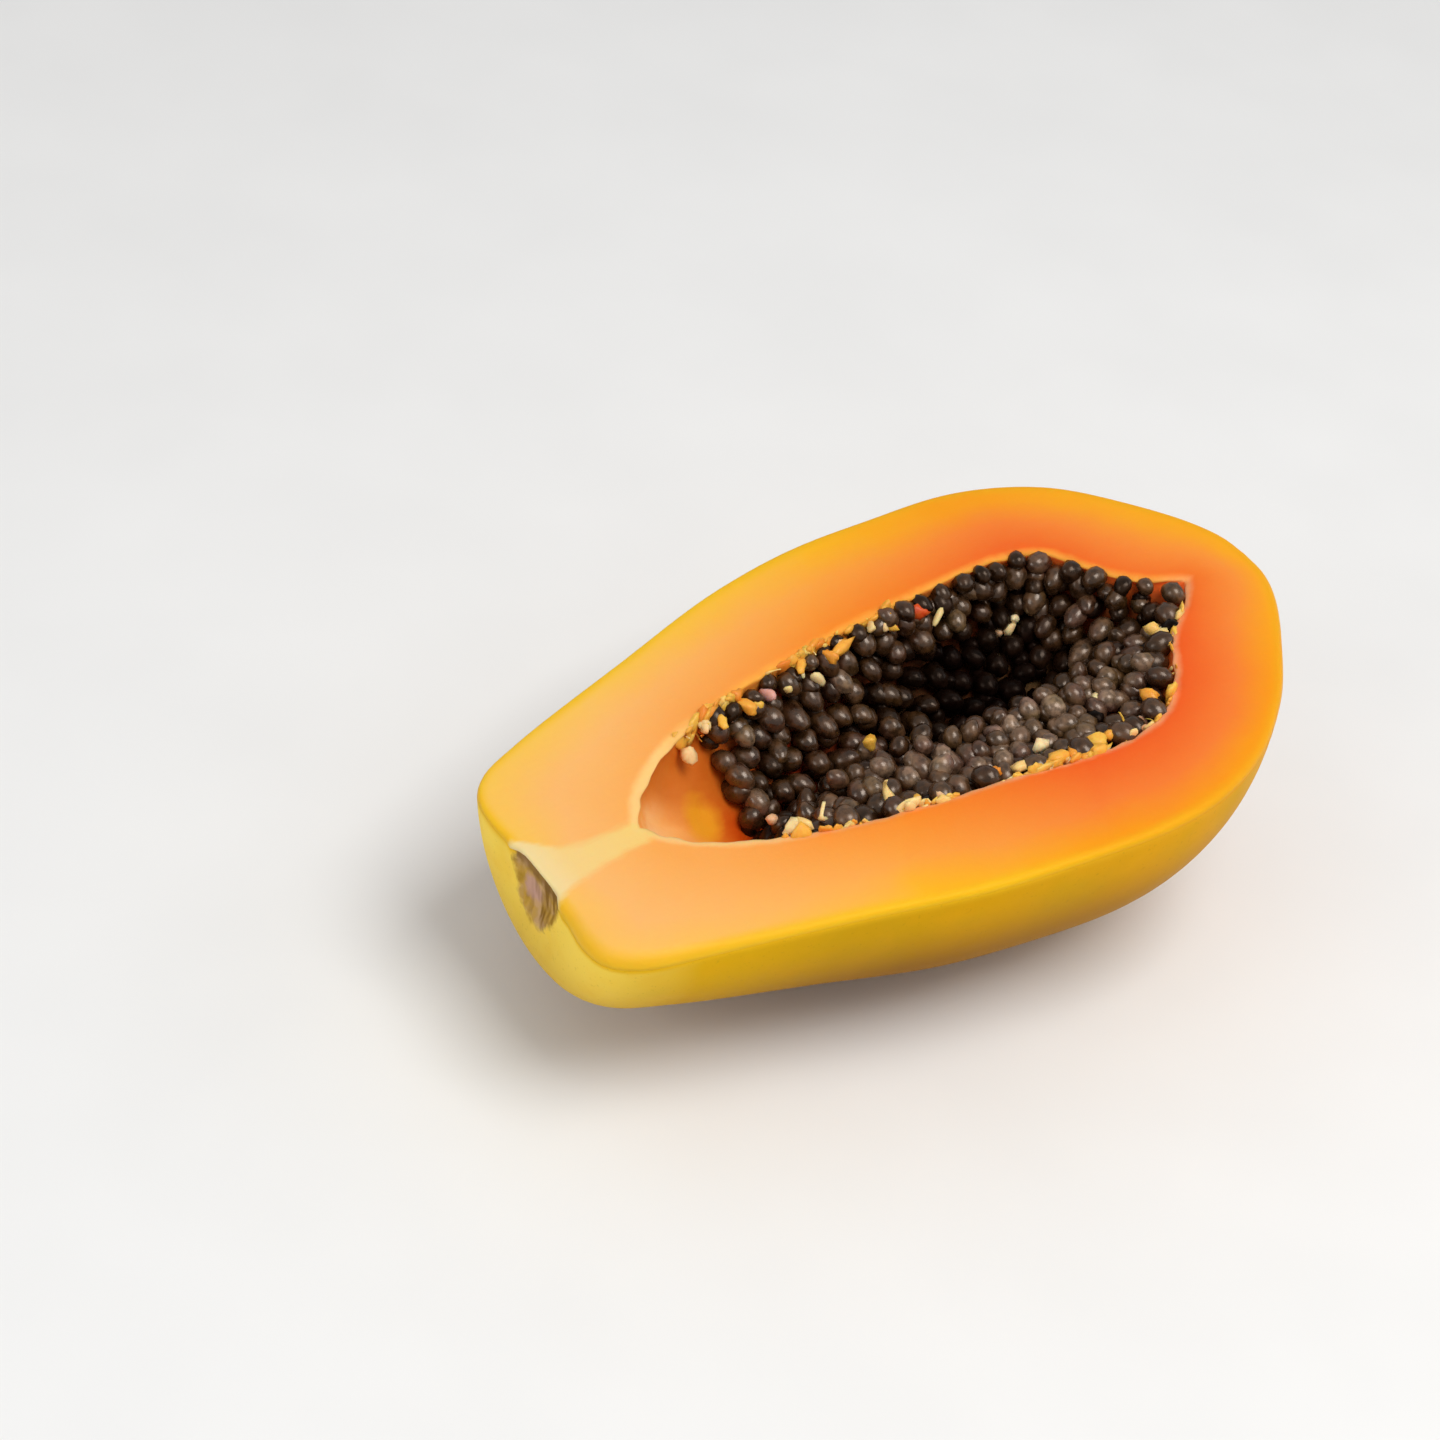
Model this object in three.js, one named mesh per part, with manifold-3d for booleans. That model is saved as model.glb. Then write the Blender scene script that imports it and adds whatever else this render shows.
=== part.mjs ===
// A ripe papaya cut in half along its length, lying on its belly with the cut face up.
//
// The fruit is shaped in a frame of its own: X runs from the stem end to the blossom end with
// zero halfway, the cut face is the plane Z = 0, and the belly hangs below it. The half is then
// tipped the way it settles, stem end a little low, and set on its flat spot at Z = 0.

import * as THREE from 'three';
import { mergeVertices } from 'three/addons/utils/BufferGeometryUtils.js';
import Module from 'manifold-3d';

const wasm = await Module();
wasm.setup();

// Size of the whole half, in millimetres.
const LENGTH = 223;
const HALF_WIDTH = 65;
const DEPTH = 68;

// Outline of the fruit from the middle of the dented stem scar round to the blossom tip:
// distance from the stem end, half-width there.
const FRUIT_OUTLINE = [
  [3.4, 0], [3.2, 7], [2.2, 14], [1.2, 22], [2.8, 29.5], [8.5, 35.2], [22, 40.4], [58, 50.6],
  [98, 61.2], [140, HALF_WIDTH], [171, 60.6], [194, 47.8], [210, 30], [219, 16.5], [LENGTH, 0],
];

// Outline of the seed cavity: a slow taper to the stem side, a pointed nook to the other.
const CAVITY_OUTLINE = [
  [32, 0], [37, 7.2], [47, 14.6], [60, 21], [80, 26.4], [111, 31],
  [150, 35], [166, 33], [177, 26.3], [184.5, 15.3], [191.5, 8.3], [203, 0],
];
const CAVITY_LOBES = 5;
const CAVITY_LOBE_DEPTH = 0.045;

// The seeds lie thickest on the -Y side, so the wall swells inwards under them, by a share of the
// outline's radius. Angles from the -Y rim and distances where the swelling starts, is full,
// begins to fall and has gone.
const BED_SHARE = 0.42;
const BED_ANGLES = [0, 0.6, 1.3, 1.85];
const BED_DISTANCES = [62, 92, 176, 194];

// Unevenness of a grown fruit. Its axis wanders sideways: where, how far that reaches, how much.
// The cavity follows it and wanders a little more.
const SIDE_BOWS = [[147, 22, -1.9], [201, 20, 2.2]];
const CAVITY_BOWS = [...SIDE_BOWS, [50, 40, 1.3], [178, 8, 2], [194, 9, -2.6]];

// The stem end leans back on its far side and under the belly.
const STEM_LEAN = 0.1;
const STEM_LEAN_REACH = 8;

// Facets along each span of an outline and round the two turned surfaces.
const STEPS_PER_SPAN = 2;
const FRUIT_SIDES = 36;
const CAVITY_SIDES = 24;

// Seeds stand on the cavity wall in staggered rows, clear of the bare stem side. On the far side
// a strip of the wall stays bare under the rim.
const SEED_FROM = 64;
const SEED_TO = 198;
const SEED_SPACING = 7.5;
const SEED_RADIUS = 3.4;
const SEED_LONG_RADIUS = 4.0;
const SEED_SIZE_SPREAD = 0.15;
const SEED_LIFT = 2.7;
const SEED_FAR_GAP = 3;
const SEED_STAGGERS = [0.3, 0.7];
const SECTION_STEPS = 48;
const SEED_WANDER = 0.5;
const SEED_DRAW = 20240;

// How it lies.
const REST_TILT = THREE.MathUtils.degToRad(5);
const FLAT_SPOT_CUT = 1.0;

// Turns a corner of three.js's icosahedron to the top.
const CORNER_UP = Math.atan(2 / (1 + Math.sqrt(5)));

const DEPTH_RATIO = DEPTH / HALF_WIDTH;
const ROOM = 2 * LENGTH;

// Draws the same numbers between 0 and 1 on every run.
function makeDraw(start) {
  let state = start;
  return () => {
    state = (state * 1664525 + 1013904223) % 4294967296;
    return state / 4294967296;
  };
}

function sideways(distance, bows) {
  return bows.reduce(
    (sum, [centre, reach, offset]) => sum + offset * Math.exp(-(((distance - centre) / reach) ** 2)),
    0,
  );
}

// Point of the fruit's frame for a distance from the stem end, a radius and an angle that
// starts at the cut face on the -Y side and runs down under the belly.
function fruitPoint(distance, radius, angle, bows) {
  const side = -radius * Math.cos(angle);
  const down = radius * Math.sin(angle) * DEPTH_RATIO;
  const lean = STEM_LEAN * (side + down) * Math.exp(-distance / STEM_LEAN_REACH);
  return new THREE.Vector3(distance + lean - LENGTH / 2, side + sideways(distance, bows), -down);
}

function smoothOutline(outline) {
  const corners = outline.map(([distance, radius]) => new THREE.Vector3(distance, radius, 0));
  return new THREE.CatmullRomCurve3(corners, false, 'centripetal');
}

// Rises from 0 to 1 between the first two values and falls back between the last two.
function rounded(value, [start, full, fall, end]) {
  const { smoothstep } = THREE.MathUtils;
  return smoothstep(value, start, full) * (1 - smoothstep(value, fall, end));
}

// Radius of the cavity wall as a share of its outline.
function cavitySwell(distance, angle) {
  const lobe = CAVITY_LOBE_DEPTH * Math.sin(CAVITY_LOBES * angle);
  return 1 + lobe - BED_SHARE * rounded(angle, BED_ANGLES) * rounded(distance, BED_DISTANCES);
}

// Turns an outline round the fruit's axis, bent by its bows; swell(distance, angle) scales the
// radius.
function turnedSurface(outline, bows, sides, swell) {
  const steps = STEPS_PER_SPAN * (outline.length - 1);
  const profile = smoothOutline(outline)
    .getPoints(steps)
    .map((point) => new THREE.Vector2(Math.max(point.y, 0), point.x));
  profile[0].x = 0;
  profile[steps].x = 0;
  const geometry = new THREE.LatheGeometry(profile, sides, Math.PI / sides);
  const places = geometry.getAttribute('position');
  for (let i = 0; i < places.count; i += 1) {
    const radius = Math.hypot(places.getX(i), places.getZ(i));
    const angle = Math.atan2(places.getX(i), places.getZ(i));
    const distance = places.getY(i);
    const point = fruitPoint(distance, radius * swell(distance, angle), angle, bows);
    places.setXYZ(i, point.x, point.y, point.z);
  }
  return geometry;
}

function toSolid(geometry) {
  const bare = geometry.clone();
  bare.deleteAttribute('normal');
  bare.deleteAttribute('uv');
  const merged = mergeVertices(bare, 1e-3);
  return new wasm.Manifold(new wasm.Mesh({
    numProp: 3,
    vertProperties: new Float32Array(merged.getAttribute('position').array),
    triVerts: new Uint32Array(merged.index.array),
  }));
}

function toGeometry(solid) {
  const mesh = solid.getMesh();
  const geometry = new THREE.BufferGeometry();
  geometry.setAttribute('position', new THREE.BufferAttribute(mesh.vertProperties, 3));
  geometry.setIndex(new THREE.BufferAttribute(mesh.triVerts, 1));
  return geometry;
}

// A block that takes away everything above a height.
function blockAbove(height) {
  const block = new THREE.BoxGeometry(ROOM, ROOM, ROOM);
  block.translate(0, 0, height + ROOM / 2);
  return block;
}

// The flesh and skin with the cut face and the empty cavity.
function makeCutFruit() {
  const fruit = toSolid(turnedSurface(FRUIT_OUTLINE, SIDE_BOWS, FRUIT_SIDES, () => 1));
  const cavity = toSolid(turnedSurface(CAVITY_OUTLINE, CAVITY_BOWS, CAVITY_SIDES, cavitySwell));
  return fruit.subtract(cavity).subtract(toSolid(blockAbove(0)));
}

// One seed: a small ovoid standing on one corner, its long axis along +Z, turned at random.
function makeSeed(draw) {
  const seed = new THREE.IcosahedronGeometry(1, 0);
  const size = 1 + SEED_SIZE_SPREAD * (2 * draw() - 1);
  seed.rotateX(CORNER_UP);
  seed.rotateZ(2 * Math.PI * draw());
  seed.scale(size * SEED_RADIUS, size * SEED_RADIUS, size * SEED_LONG_RADIUS);
  return seed;
}

// Angles evenly spaced along the wall's section, from the -Y rim round to the bare strip.
function seedAngles(distance, radius, stagger) {
  const runs = [0];
  let before = null;
  for (let step = 0; step <= SECTION_STEPS; step += 1) {
    const angle = Math.PI * step / SECTION_STEPS;
    const reach = Math.max(radius * cavitySwell(distance, angle) - SEED_LIFT, 0);
    const here = [reach * Math.cos(angle), reach * Math.sin(angle)];
    if (before) runs.push(runs.at(-1) + Math.hypot(here[0] - before[0], here[1] - before[1]));
    before = here;
  }
  const room = Math.max(runs.at(-1) - SEED_FAR_GAP, 0);
  const count = Math.max(1, Math.round(room / SEED_SPACING));
  return Array.from({ length: count }, (_, i) => {
    const run = room * (i + stagger) / count;
    const step = Math.max(runs.findIndex((end) => end > run), 1);
    const share = (run - runs[step - 1]) / (runs[step] - runs[step - 1]);
    return Math.PI * (step - 1 + share) / SECTION_STEPS;
  });
}

// Places on the cavity wall, each with the direction that leads off the wall.
function seedPlaces(draw) {
  const curve = smoothOutline(CAVITY_OUTLINE);
  const rowSpacing = SEED_SPACING * Math.sqrt(3) / 2;
  const rows = Math.round(curve.getLength() / rowSpacing);
  const places = [];
  for (let row = 0; row <= rows; row += 1) {
    const outline = curve.getPointAt(row / rows);
    const slope = curve.getTangentAt(row / rows);
    if (outline.x < SEED_FROM || outline.x > SEED_TO) continue;
    for (const evenAngle of seedAngles(outline.x, outline.y, SEED_STAGGERS[row % 2])) {
      const angle = evenAngle + SEED_WANDER * (draw() - 0.5) / outline.y;
      const distance = outline.x + SEED_WANDER * (draw() - 0.5);
      const reach = outline.y * cavitySwell(distance, angle);
      const point = fruitPoint(distance, reach, angle, CAVITY_BOWS);
      const away = new THREE.Vector3(
        slope.y,
        slope.x * Math.cos(angle),
        slope.x * Math.sin(angle) / DEPTH_RATIO,
      ).normalize();
      places.push({ point, away });
    }
  }
  return places;
}

function makeSeeds() {
  const draw = makeDraw(SEED_DRAW);
  const up = new THREE.Vector3(0, 0, 1);
  let seeds = null;
  for (const { point, away } of seedPlaces(draw)) {
    const seed = makeSeed(draw);
    seed.applyQuaternion(new THREE.Quaternion().setFromUnitVectors(up, away));
    seed.translate(
      point.x + SEED_LIFT * away.x,
      point.y + SEED_LIFT * away.y,
      point.z + SEED_LIFT * away.z,
    );
    const solid = toSolid(seed);
    seeds = seeds === null ? solid : seeds.add(solid);
  }
  return seeds;
}

// The largest piece of a solid, so that no loose scrap stays.
function largestPiece(solid) {
  const pieces = solid.decompose();
  return pieces.reduce((best, piece) => (piece.volume() > best.volume() ? piece : best));
}

// Tips the half to its resting pose, cuts the flat spot and puts it over the origin.
function layDown(solid) {
  const tipped = toGeometry(solid);
  tipped.rotateY(-REST_TILT);
  tipped.computeBoundingBox();
  const box = tipped.boundingBox;
  tipped.translate(
    -(box.min.x + box.max.x) / 2,
    -(box.min.y + box.max.y) / 2,
    -(box.min.z + FLAT_SPOT_CUT),
  );
  const floorBlock = new THREE.BoxGeometry(ROOM, ROOM, ROOM);
  floorBlock.translate(0, 0, -ROOM / 2);
  return toSolid(tipped).subtract(toSolid(floorBlock));
}

const flesh = new THREE.MeshStandardMaterial({ color: 0xf79a3e, roughness: 0.42, metalness: 0 });

const half = new THREE.Mesh(toGeometry(layDown(largestPiece(makeCutFruit().add(makeSeeds())))), flesh);
half.name = 'papaya_half';

const group = new THREE.Group();
group.add(half);

export default group;
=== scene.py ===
"""A ripe papaya cut in half along its length, lying on its belly with the cut face up.

Shapes are made in millimetres in the fruit's own frame: X is the distance from the stem end, the cut
face is Z = 0 and the belly hangs below it. grow() bends the turned shapes into the grown fruit, and
LAY_DOWN tips it to its rest and turns millimetres into the metres of the row's frame.
"""
import math
import random
from functools import partial

import bmesh
import bpy
import numpy as np
from mathutils import Matrix, Quaternion, Vector, noise


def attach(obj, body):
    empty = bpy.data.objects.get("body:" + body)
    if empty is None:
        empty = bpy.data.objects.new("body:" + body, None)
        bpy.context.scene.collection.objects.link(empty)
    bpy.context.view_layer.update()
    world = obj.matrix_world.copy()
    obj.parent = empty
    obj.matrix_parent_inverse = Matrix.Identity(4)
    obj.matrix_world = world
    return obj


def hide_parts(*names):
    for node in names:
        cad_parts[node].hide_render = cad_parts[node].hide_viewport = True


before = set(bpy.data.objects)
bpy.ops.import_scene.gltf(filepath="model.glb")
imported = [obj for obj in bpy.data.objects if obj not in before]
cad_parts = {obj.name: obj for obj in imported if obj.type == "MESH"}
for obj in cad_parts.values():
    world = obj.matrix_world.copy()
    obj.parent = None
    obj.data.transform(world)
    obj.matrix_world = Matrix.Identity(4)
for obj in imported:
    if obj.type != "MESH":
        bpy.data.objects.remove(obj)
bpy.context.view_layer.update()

# ---------------------------------------------------------------- measures of the fruit, in millimetres
LENGTH = 223.0
DEPTH_RATIO = 68.0 / 65.0
FRUIT_OUTLINE = [
    (2.0, 0), (2.0, 7), (1.8, 14), (1.2, 22), (2.8, 29.5), (8.5, 35.2), (22, 40.4), (58, 50.6),
    (98, 61.2), (140, 65), (171, 60.6), (194, 47.8), (210, 30), (219, 16.5), (222.3, 8), (LENGTH, 0),
]
CAVITY_OUTLINE = [
    (32, 0), (37, 7.2), (47, 14.6), (60, 21), (80, 26.4), (111, 31),
    (150, 35), (166, 33), (177, 26.3), (184.5, 15.3), (191.5, 8.3), (203, 0),
]
CAVITY_LOBES = 5
CAVITY_LOBE_DEPTH = 0.045
# Sideways wander of the fruit's axis and, on top of it, of the hollow's: where, how far it reaches, how much.
SIDE_BOWS = [(147, 22, -1.9), (201, 20, 2.2)]
HOLLOW_BOWS = [(50, 40, 1.3), (178, 8, 2), (194, 9, -2.6)]
# The bed of seeds on the near side: share of the radius, then where it starts, is full, falls and ends.
BED_SHARE = 0.42
BED_ANGLES = (0, 0.6, 1.3, 1.85)
BED_DISTANCES = (62, 92, 176, 194)
STEM_LEAN = (0.07, 0.02)  # how far the stem end leans back across and downwards
STEM_LEAN_REACH = 8.0
INSIDE_CAD = 0.4  # the skin keeps this far inside the faceted solid
SKIN_THICKNESS = 0.9
FLESH_INSET = 0.05  # at the cut the flesh comes this near the surface and hides the skin's lip
# The cut face rounds over at the rind: on the near side, on the far side, and more beside the scar.
NEAR_ROUNDING, FAR_ROUNDING, STEM_ROUNDING = 1.6, 0.7, 2.4
NEAR_TO_FAR = 40.0  # the width over which the near rounding turns into the far one
STEM_FADE = 24.0
AT_SCAR_LEFT = 0.3  # the share of the rounding that is left where the scar meets the cut
STEM_FAR_SHARE = 0.2

# Where the stem broke off: the scar's middle across and below the cut, its reach, and its relief.
SCAR_CENTRE = (0.6, 0.0)
SCAR_REACH = (10.5, 14.0)
SCAR_SINK = 0.9
SCAR_LIP = 0.5
SCAR_DEPTH = (5.0, 10.0)  # the sinking fades out between these distances from the stem end

# How it lies: tipped, then moved from the middle of the fruit to the middle of its box.
REST_TILT = math.radians(5)
SHIFT = Vector((0.34187, 1.48580, 64.90158))
MM = 0.001
LAY_DOWN = Matrix.Scale(MM, 4) @ Matrix.Translation(SHIFT) @ Matrix.Rotation(-REST_TILT, 4, "Y")
# The soft belly flattens where it rests: heights in this span are pressed up to the table.
BELLY_LOW, BELLY_HIGH = -1.0, 1.6

# Seeds stand on the cavity wall in staggered rows, as the solid has them.
SEED_FROM, SEED_TO = 64.0, 198.0
SEED_SPACING = 7.5
SEED_LIFT = 2.7
SEED_FAR_GAP = 3.0
SEED_STAGGERS = (0.3, 0.7)
SECTION_STEPS = 48
SEED_WANDER = 0.5
SEED_DRAW = 20240
SEED_RADIUS, SEED_HALF_LENGTH = 3.3, 4.0

# ---------------------------------------------------------------- outlines


def smooth_outline(corners, count):
    """Evenly spaced points on a centripetal Catmull-Rom curve through the corners."""
    corners = np.array(corners, float)
    padded = np.vstack([2 * corners[0] - corners[1], corners, 2 * corners[-1] - corners[-2]])
    share = np.linspace(0, 1, 40, endpoint=False)[:, None]
    fine = []
    for before, start, end, after in zip(padded, padded[1:], padded[2:], padded[3:]):
        gap_in, gap, gap_out = (
            math.sqrt(np.linalg.norm(b - a)) for a, b in ((before, start), (start, end), (end, after)))
        leaving = (end - start) + gap * ((start - before) / gap_in - (end - before) / (gap_in + gap))
        arriving = (end - start) + gap * ((after - end) / gap_out - (after - start) / (gap + gap_out))
        fine.append(
            start + leaving * share
            + (3 * (end - start) - 2 * leaving - arriving) * share ** 2
            + (2 * (start - end) + leaving + arriving) * share ** 3)
    fine = np.vstack(fine + [corners[-1:]])
    run = np.r_[0, np.cumsum(np.linalg.norm(np.diff(fine, axis=0), axis=1))]
    even = np.linspace(0, run[-1], count)
    outline = np.c_[np.interp(even, run, fine[:, 0]), np.maximum(np.interp(even, run, fine[:, 1]), 0)]
    outline[[0, -1], 1] = 0
    return outline


def outward(outline):
    """The direction square to the outline, away from the fruit's axis, at each of its points."""
    slope = np.gradient(outline, axis=0)
    square = np.c_[-slope[:, 1], slope[:, 0]]
    square[0], square[-1] = (-1, 0), (1, 0)
    return square / np.linalg.norm(square, axis=1)[:, None]


def moved_outline(outline, distance):
    """The outline moved square to itself, with its two ends kept on the axis."""
    moved = outline + outward(outline) * distance
    moved[:, 1] = np.maximum(moved[:, 1], 0)
    moved[[0, -1], 1] = 0
    return moved


def sideways(distance, bows):
    """How far an axis wanders sideways at a distance from the stem end."""
    return sum(offset * np.exp(-((distance - centre) / reach) ** 2) for centre, reach, offset in bows)


def both_sides(line):
    """Mirrors a line of the far side, to one that runs down the near side and back along the far."""
    return np.vstack([line * (1, -1), line[-2:0:-1]])


def distance_to(line, points):
    """The shortest distance of each point from a closed line, on the cut face."""
    step = np.roll(line, -1, axis=0) - line
    share = np.einsum("psk,sk->ps", points[:, None] - line, step) / (step ** 2).sum(1)
    foot = line + np.clip(share, 0, 1)[..., None] * step
    return np.linalg.norm(points[:, None] - foot, axis=2).min(1)


RIM_POINTS = 121
fruit_outline = moved_outline(smooth_outline(FRUIT_OUTLINE, RIM_POINTS), -INSIDE_CAD)
flesh_outline = moved_outline(fruit_outline, -FLESH_INSET)
cavity_outline = smooth_outline(CAVITY_OUTLINE, RIM_POINTS)
rind_line = both_sides(flesh_outline)
hollow_line = both_sides(cavity_outline)
hollow_line[:, 1] += sideways(hollow_line[:, 0], HOLLOW_BOWS)
rind_ways = both_sides(outward(flesh_outline))
hollow_ways = both_sides(outward(cavity_outline))


def rounded(value, places):
    """Rises from 0 to 1 between the first two places and falls back between the last two."""
    start, full, fall, end = places
    rise, drop = (min(max((value - low) / (high - low), 0), 1) for low, high in ((start, full), (fall, end)))
    return rise * rise * (3 - 2 * rise) * (1 - drop * drop * (3 - 2 * drop))


def bed_at(distance, angle):
    return rounded(angle, BED_ANGLES) * rounded(distance, BED_DISTANCES)


def cavity_swell(distance, angle):
    """Radius of the cavity wall as a share of its outline."""
    return 1 + CAVITY_LOBE_DEPTH * math.sin(CAVITY_LOBES * angle) - BED_SHARE * bed_at(distance, angle)


def grow(point):
    """Bends a point of the straight, round fruit into the grown one, in the fruit's centred frame."""
    down = -point.z * DEPTH_RATIO
    lean = (STEM_LEAN[0] * point.y + STEM_LEAN[1] * down) * math.exp(-max(point.x, 0) / STEM_LEAN_REACH)
    return Vector((point.x + lean - LENGTH / 2, point.y + sideways(point.x, SIDE_BOWS), -down))


def on_wall(distance, radius, angle):
    """A point of the wall for a distance from the stem end, and an angle from the near rim round below."""
    reach = radius * cavity_swell(distance, angle)
    across = sideways(distance, HOLLOW_BOWS) - reach * math.cos(angle)
    return Vector((distance, across, -reach * math.sin(angle)))


def off_wall(slope, angle):
    """The direction that leads off the cavity wall."""
    inward, along = slope
    return Vector((along, inward * math.cos(angle), inward * math.sin(angle) / DEPTH_RATIO)).normalized()


def wall_at(along):
    """Radius and slope of the cavity outline at a distance from the stem end."""
    index = int(np.clip(np.searchsorted(cavity_outline[:, 0], along), 1, RIM_POINTS - 2))
    slope = cavity_outline[index + 1] - cavity_outline[index - 1]
    return np.interp(along, cavity_outline[:, 0], cavity_outline[:, 1]), slope / np.linalg.norm(slope)


# ---------------------------------------------------------------- flesh and skin


def spin_half(bm, outline, steps):
    """Turns an outline half a turn, from the near rim under the belly to the far rim."""
    verts = [bm.verts.new((distance, -radius, 0)) for distance, radius in outline]
    edges = [bm.edges.new(pair) for pair in zip(verts, verts[1:])]
    bmesh.ops.spin(
        bm, geom=verts + edges, cent=(0, 0, 0), axis=(1, 0, 0), angle=math.pi, steps=steps,
        use_duplicate=False)


def to_object(bm, name):
    mesh = bpy.data.meshes.new(name)
    bm.to_mesh(mesh)
    bm.free()
    mesh.polygons.foreach_set("use_smooth", [True] * len(mesh.polygons))
    piece = bpy.data.objects.new(name, mesh)
    bpy.context.scene.collection.objects.link(piece)
    return piece


# What each point of flesh and skin carries for the materials, in millimetres but for the share.
PLACE_NAMES = ("along", "across", "depth", "to_hollow", "to_rind", "share", "ripe")
RIPE_SKEW = 0.4  # the flesh is riper on the near side: how far along a step across counts


def mark_places(bm):
    """Writes on each point where it is in the fruit."""
    points = np.array([vert.co.xy[:] for vert in bm.verts])
    layers = [bm.verts.layers.float.new(name) for name in PLACE_NAMES]
    distances = (distance_to(line, points) for line in (hollow_line, rind_line))
    for vert, to_hollow, to_rind in zip(bm.verts, *distances):
        share = to_hollow / (to_hollow + to_rind)
        ripe = vert.co.x - RIPE_SKEW * vert.co.y
        for layer, value in zip(layers, (vert.co.x, vert.co.y, -vert.co.z, to_hollow, to_rind, share, ripe)):
            vert[layer] = float(value)


def round_rim(bm):
    """Rounds the cut face over at the rind. The surface below gives way, so that its rows stay in order."""
    to_rind = bm.verts.layers.float["to_rind"]
    for vert in bm.verts:
        at_scar = math.exp(-((vert.co.y - SCAR_CENTRE[0]) / SCAR_REACH[0]) ** 4)
        at_stem = math.exp(-(vert.co.x / STEM_FADE) ** 2)
        far = min(max(0.5 + vert.co.y / NEAR_TO_FAR, 0), 1)
        rounding = NEAR_ROUNDING + (FAR_ROUNDING - NEAR_ROUNDING) * far
        rounding *= 1 - (1 - AT_SCAR_LEFT) * at_scar * at_stem
        rounding += STEM_ROUNDING * (1 - (1 - STEM_FAR_SHARE) * far) * (1 - at_scar) * at_stem
        if vert[to_rind] < rounding:
            depth, within = -vert.co.z, rounding - vert[to_rind]
            if depth > 0.01:
                vert.co.z = -max(depth, rounding + 0.4 * depth)
            else:
                vert.co.z = math.sqrt(rounding ** 2 - within ** 2) - rounding


def grow_all(bm):
    for vert in bm.verts:
        vert.co = LAY_DOWN @ grow(vert.co)
        height = vert.co.z / MM
        if height < BELLY_HIGH:
            vert.co.z = MM * BELLY_HIGH * max(height - BELLY_LOW, 0) / (BELLY_HIGH - BELLY_LOW)


# Rows of the cut face: close together along both rims, where the flesh changes fast.
HOLLOW_ROWS = (0, 0.4, 0.9, 1.6, 2.6)
RIND_ROWS = (6, 4.2, 3, 2.2, 1.6, 1, 0.5, 0.15, 0)
MIDDLE_ROWS = 14


def make_cut_face(bm):
    """A ring of rows from the rim of the hollow out to the skin."""
    rows = [hollow_line + hollow_ways * step for step in HOLLOW_ROWS]
    rows += [rind_line - rind_ways * step for step in RIND_ROWS]
    last, first = rows[len(HOLLOW_ROWS) - 1:len(HOLLOW_ROWS) + 1]
    rows[len(HOLLOW_ROWS):len(HOLLOW_ROWS)] = [
        last * (1 - share) + first * share for share in np.linspace(0, 1, MIDDLE_ROWS + 2)[1:-1]]
    columns = len(hollow_line)
    made = bmesh.ops.create_grid(bm, x_segments=columns, y_segments=len(rows) - 1, size=0.5)
    for vert in made["verts"]:
        column = round((vert.co.x + 0.5) * columns) % columns
        row = round((vert.co.y + 0.5) * (len(rows) - 1))
        vert.co = Vector((*rows[row][column], 0))


# The rim of the hollow is torn, not cut: how far that reaches, how deep it rounds down, how ragged it is.
TEAR_REACH = 2.7
TEAR_DIP = 1.0
TEAR_RAG = 0.8
TEAR_SIZE = 5.0


def tear_rim(bm):
    to_hollow = bm.verts.layers.float["to_hollow"]
    for vert in bm.verts:
        torn = max(1 - vert[to_hollow] / TEAR_REACH, 0) * max(1 + vert.co.z / 4, 0)
        if torn > 0:
            nearest = int(np.linalg.norm(hollow_line - vert.co.xy[:], axis=1).argmin())
            # Two noises of the place alone: noise_vector would start from the time of day.
            aside, down = (
                noise.noise(Vector((*hollow_line[nearest], level)) / TEAR_SIZE) for level in (0, 47))
            vert.co.xy += Vector(hollow_ways[nearest]) * TEAR_RAG * aside * torn
            vert.co.z -= TEAR_DIP * torn ** 2 * (1 + 0.7 * down)


WALL_STEPS = 48
BELLY_STEPS = 24
LUMP_HEIGHT = 0.5
LUMP_SIZE = 6.0


def make_flesh():
    """The flesh as one closed mesh: the belly under the skin, the wall of the hollow and the cut."""
    bm = bmesh.new()
    spin_half(bm, flesh_outline, BELLY_STEPS)
    belly = set(bm.verts)
    bm.normal_update()
    outwards = math.copysign(SKIN_THICKNESS, sum(vert.normal.z * vert.co.z for vert in belly))
    for vert in belly:
        vert.co -= vert.normal * outwards * min(max((-vert.co.z - NEAR_ROUNDING) / 3, 0), 1)
    spin_half(bm, cavity_outline, WALL_STEPS)
    for vert in set(bm.verts) - belly:
        angle = math.atan2(-vert.co.z, -vert.co.y)
        radius = math.hypot(vert.co.y, vert.co.z)
        lump = LUMP_HEIGHT * noise.noise(vert.co / LUMP_SIZE) * min(-vert.co.z / 4, 1)
        swell = cavity_swell(vert.co.x, angle) + lump / max(radius, 4)
        vert.co.y = vert.co.y * swell + sideways(vert.co.x, HOLLOW_BOWS)
        vert.co.z *= swell
    make_cut_face(bm)
    bmesh.ops.remove_doubles(bm, verts=bm.verts, dist=0.01)
    bmesh.ops.recalc_face_normals(bm, faces=bm.faces)
    mark_places(bm)
    tear_rim(bm)
    round_rim(bm)
    break_off_stem(bm)
    grow_all(bm)
    return to_object(bm, "papaya_flesh")


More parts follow.
